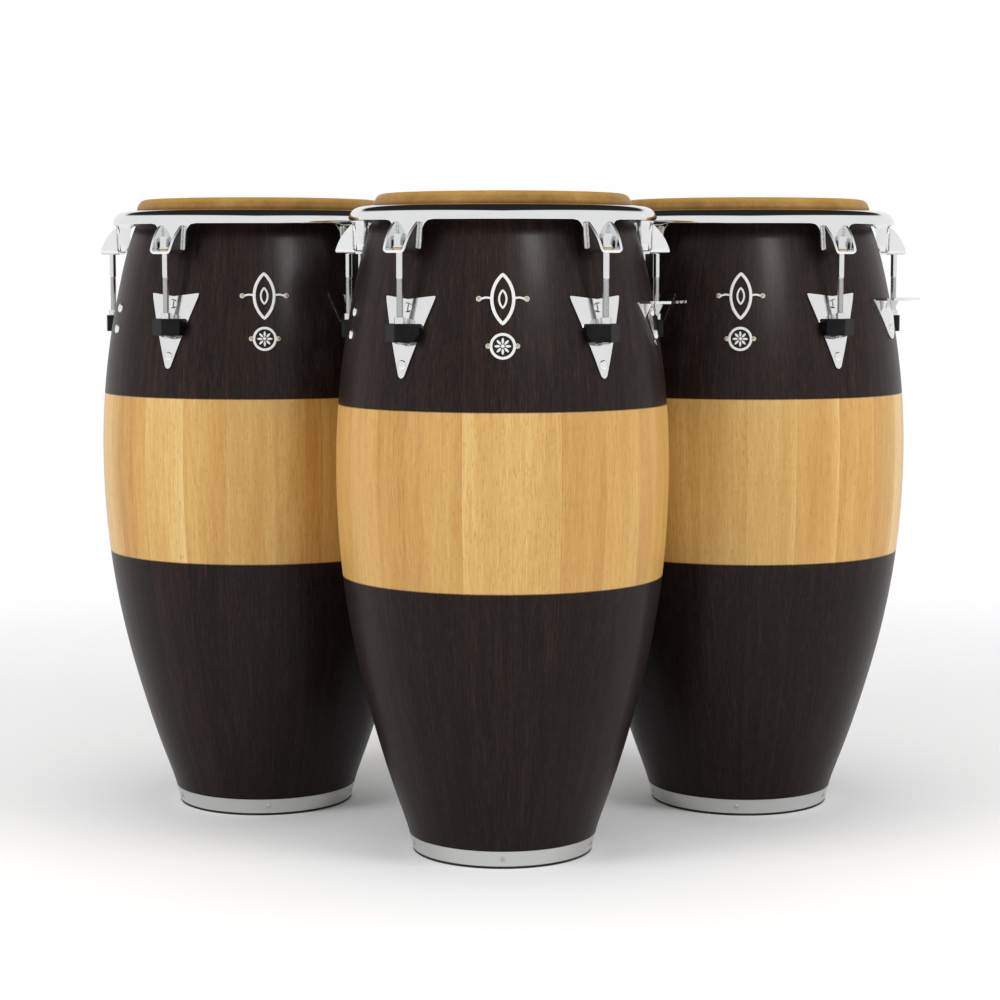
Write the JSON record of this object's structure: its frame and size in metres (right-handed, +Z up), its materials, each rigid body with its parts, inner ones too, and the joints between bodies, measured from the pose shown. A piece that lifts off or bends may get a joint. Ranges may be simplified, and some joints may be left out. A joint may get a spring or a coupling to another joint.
{
  "type": "conga drums",
  "caption": "Set of free-standing stave-built conga drums with chrome tuning hoops, tensioning bolts and rawhide heads, played by hand.",
  "frame": {"origin": "floor level, at the bottom centre of the whole set's box; the set's middle drum stands in front of it", "axes": "+Z up along every drum's axis, -Y towards the player's side with the ornaments, +X to the right seen from the front"},
  "size_m": [1.0278, 0.6673, 0.762],
  "materials": {
    "stave_wood": "satin lacquer, dark stain with a clear natural band round the belly",
    "satin_band": "brushed satin",
    "zinc_screw": "zinc plated",
    "foot_rubber": "matte",
    "rawhide": "natural rawhide, dry",
    "flesh_wire": "plain",
    "hoop_chrome": "polished",
    "washer_brass": "plain",
    "plate_chrome": "polished",
    "block_rubber": "moulded, satin",
    "insert_steel": "nickel plated",
    "bolt_dome": "polished",
    "nut_zinc": "zinc plated",
    "ornament_metal": "polished, dark filled centre",
    "bolt_chrome": "polished"
  },
  "bodies": {
    "centre_drum": {"centre_shell": "stave_wood", "centre_base_band": "satin_band", "centre_band_screws": "zinc_screw", "centre_rubber_foot": "foot_rubber", "centre_drumhead": "rawhide", "centre_side_plates": "plate_chrome", "centre_receiver_blocks": "block_rubber", "centre_threaded_inserts": "insert_steel", "centre_shell_bolts": "bolt_dome", "centre_inner_nuts": "nut_zinc", "centre_shell_protector": "plate_chrome", "centre_front_ornaments": "ornament_metal"},
    "centre_hoop": {"centre_tuning_hoop": "hoop_chrome", "centre_flesh_hoop": "flesh_wire", "centre_lug_washers": "washer_brass"},
    "centre_bolt_1": {"centre_tuning_bolt_1": "bolt_chrome"},
    "centre_bolt_2": {"centre_tuning_bolt_2": "bolt_chrome"},
    "centre_bolt_3": {"centre_tuning_bolt_3": "bolt_chrome"},
    "centre_bolt_4": {"centre_tuning_bolt_4": "bolt_chrome"},
    "centre_bolt_5": {"centre_tuning_bolt_5": "bolt_chrome"},
    "left_drum": {"left_shell": "stave_wood", "left_base_band": "satin_band", "left_band_screws": "zinc_screw", "left_rubber_foot": "foot_rubber", "left_drumhead": "rawhide", "left_side_plates": "plate_chrome", "left_receiver_blocks": "block_rubber", "left_threaded_inserts": "insert_steel", "left_shell_bolts": "bolt_dome", "left_inner_nuts": "nut_zinc", "left_shell_protector": "plate_chrome", "left_front_ornaments": "ornament_metal"},
    "left_hoop": {"left_tuning_hoop": "hoop_chrome", "left_flesh_hoop": "flesh_wire", "left_lug_washers": "washer_brass"},
    "left_bolt_1": {"left_tuning_bolt_1": "bolt_chrome"},
    "left_bolt_2": {"left_tuning_bolt_2": "bolt_chrome"},
    "left_bolt_3": {"left_tuning_bolt_3": "bolt_chrome"},
    "left_bolt_4": {"left_tuning_bolt_4": "bolt_chrome"},
    "left_bolt_5": {"left_tuning_bolt_5": "bolt_chrome"},
    "right_drum": {"right_shell": "stave_wood", "right_base_band": "satin_band", "right_band_screws": "zinc_screw", "right_rubber_foot": "foot_rubber", "right_drumhead": "rawhide", "right_side_plates": "plate_chrome", "right_receiver_blocks": "block_rubber", "right_threaded_inserts": "insert_steel", "right_shell_bolts": "bolt_dome", "right_inner_nuts": "nut_zinc", "right_shell_protector": "plate_chrome", "right_front_ornaments": "ornament_metal"},
    "right_hoop": {"right_tuning_hoop": "hoop_chrome", "right_flesh_hoop": "flesh_wire", "right_lug_washers": "washer_brass"},
    "right_bolt_1": {"right_tuning_bolt_1": "bolt_chrome"},
    "right_bolt_2": {"right_tuning_bolt_2": "bolt_chrome"},
    "right_bolt_3": {"right_tuning_bolt_3": "bolt_chrome"},
    "right_bolt_4": {"right_tuning_bolt_4": "bolt_chrome"},
    "right_bolt_5": {"right_tuning_bolt_5": "bolt_chrome"}
  },
  "joints": [
    {"name": "left_drum_move", "type": "slide", "parent": "centre_drum", "child": "left_drum", "axis": [-1, 0, 0], "range_m": [0, 0.25]},
    {"name": "right_drum_move", "type": "slide", "parent": "centre_drum", "child": "right_drum", "axis": [1, 0, 0], "range_m": [0, 0.25]},
    {"name": "centre_hoop_tune", "type": "slide", "parent": "centre_drum", "child": "centre_hoop", "axis": [0, 0, -1], "range_m": [-0.004, 0.006]},
    {"name": "centre_bolt_1_turn", "type": "hinge", "parent": "centre_hoop", "child": "centre_bolt_1", "pos_m": [-0.11434, -0.29519, 0.7], "axis": [0, 0, -1], "range_deg": [-1023.5, 1533.7]},
    {"name": "centre_bolt_2_turn", "type": "hinge", "parent": "centre_hoop", "child": "centre_bolt_2", "pos_m": [0.10902, -0.29519, 0.7], "axis": [0, 0, -1], "range_deg": [-1023.5, 1533.7]},
    {"name": "centre_bolt_3_turn", "type": "hinge", "parent": "centre_hoop", "child": "centre_bolt_3", "pos_m": [0.17804, -0.08277, 0.7], "axis": [0, 0, -1], "range_deg": [-1023.5, 1533.7]},
    {"name": "centre_bolt_4_turn", "type": "hinge", "parent": "centre_hoop", "child": "centre_bolt_4", "pos_m": [-0.00266, 0.04852, 0.7], "axis": [0, 0, -1], "range_deg": [-1023.5, 1533.7]},
    {"name": "centre_bolt_5_turn", "type": "hinge", "parent": "centre_hoop", "child": "centre_bolt_5", "pos_m": [-0.18336, -0.08277, 0.7], "axis": [0, 0, -1], "range_deg": [-1023.5, 1533.7]},
    {"name": "left_hoop_tune", "type": "slide", "parent": "left_drum", "child": "left_hoop", "axis": [0, 0, -1], "range_m": [-0.004, 0.006]},
    {"name": "left_bolt_1_turn", "type": "hinge", "parent": "left_hoop", "child": "left_bolt_1", "pos_m": [-0.40281, -0.04952, 0.7], "axis": [0, 0, -1], "range_deg": [-1023.5, 1533.7]},
    {"name": "left_bolt_2_turn", "type": "hinge", "parent": "left_hoop", "child": "left_bolt_2", "pos_m": [-0.17276, -0.02208, 0.7], "axis": [0, 0, -1], "range_deg": [-1023.5, 1533.7]},
    {"name": "left_bolt_3_turn", "type": "hinge", "parent": "left_hoop", "child": "left_bolt_3", "pos_m": [-0.12776, 0.20519, 0.7], "axis": [0, 0, -1], "range_deg": [-1023.5, 1533.7]},
    {"name": "left_bolt_4_turn", "type": "hinge", "parent": "left_hoop", "child": "left_bolt_4", "pos_m": [-0.33, 0.31821, 0.7], "axis": [0, 0, -1], "range_deg": [-1023.5, 1533.7]},
    {"name": "left_bolt_5_turn", "type": "hinge", "parent": "left_hoop", "child": "left_bolt_5", "pos_m": [-0.49999, 0.1608, 0.7], "axis": [0, 0, -1], "range_deg": [-1023.5, 1533.7]},
    {"name": "right_hoop_tune", "type": "slide", "parent": "right_drum", "child": "right_hoop", "axis": [0, 0, -1], "range_m": [-0.004, 0.006]},
    {"name": "right_bolt_1_turn", "type": "hinge", "parent": "right_hoop", "child": "right_bolt_1", "pos_m": [0.16563, -0.02403, 0.7], "axis": [0, 0, -1], "range_deg": [-1023.5, 1533.7]},
    {"name": "right_bolt_2_turn", "type": "hinge", "parent": "right_hoop", "child": "right_bolt_2", "pos_m": [0.39878, -0.05183, 0.7], "axis": [0, 0, -1], "range_deg": [-1023.5, 1533.7]},
    {"name": "right_bolt_3_turn", "type": "hinge", "parent": "right_hoop", "child": "right_bolt_3", "pos_m": [0.49727, 0.16132, 0.7], "axis": [0, 0, -1], "range_deg": [-1023.5, 1533.7]},
    {"name": "right_bolt_4_turn", "type": "hinge", "parent": "right_hoop", "child": "right_bolt_4", "pos_m": [0.32499, 0.32085, 0.7], "axis": [0, 0, -1], "range_deg": [-1023.5, 1533.7]},
    {"name": "right_bolt_5_turn", "type": "hinge", "parent": "right_hoop", "child": "right_bolt_5", "pos_m": [0.12003, 0.2063, 0.7], "axis": [0, 0, -1], "range_deg": [-1023.5, 1533.7]}
  ],
  "couplings": [
    {"joint": "centre_bolt_1_turn", "follows": "centre_hoop_tune", "rad_per_m": 4452.7},
    {"joint": "centre_bolt_2_turn", "follows": "centre_hoop_tune", "rad_per_m": 4452.7},
    {"joint": "centre_bolt_3_turn", "follows": "centre_hoop_tune", "rad_per_m": 4452.7},
    {"joint": "centre_bolt_4_turn", "follows": "centre_hoop_tune", "rad_per_m": 4452.7},
    {"joint": "centre_bolt_5_turn", "follows": "centre_hoop_tune", "rad_per_m": 4452.7},
    {"joint": "left_bolt_1_turn", "follows": "left_hoop_tune", "rad_per_m": 4452.7},
    {"joint": "left_bolt_2_turn", "follows": "left_hoop_tune", "rad_per_m": 4452.7},
    {"joint": "left_bolt_3_turn", "follows": "left_hoop_tune", "rad_per_m": 4452.7},
    {"joint": "left_bolt_4_turn", "follows": "left_hoop_tune", "rad_per_m": 4452.7},
    {"joint": "left_bolt_5_turn", "follows": "left_hoop_tune", "rad_per_m": 4452.7},
    {"joint": "right_bolt_1_turn", "follows": "right_hoop_tune", "rad_per_m": 4452.7},
    {"joint": "right_bolt_2_turn", "follows": "right_hoop_tune", "rad_per_m": 4452.7},
    {"joint": "right_bolt_3_turn", "follows": "right_hoop_tune", "rad_per_m": 4452.7},
    {"joint": "right_bolt_4_turn", "follows": "right_hoop_tune", "rad_per_m": 4452.7},
    {"joint": "right_bolt_5_turn", "follows": "right_hoop_tune", "rad_per_m": 4452.7}
  ]
}
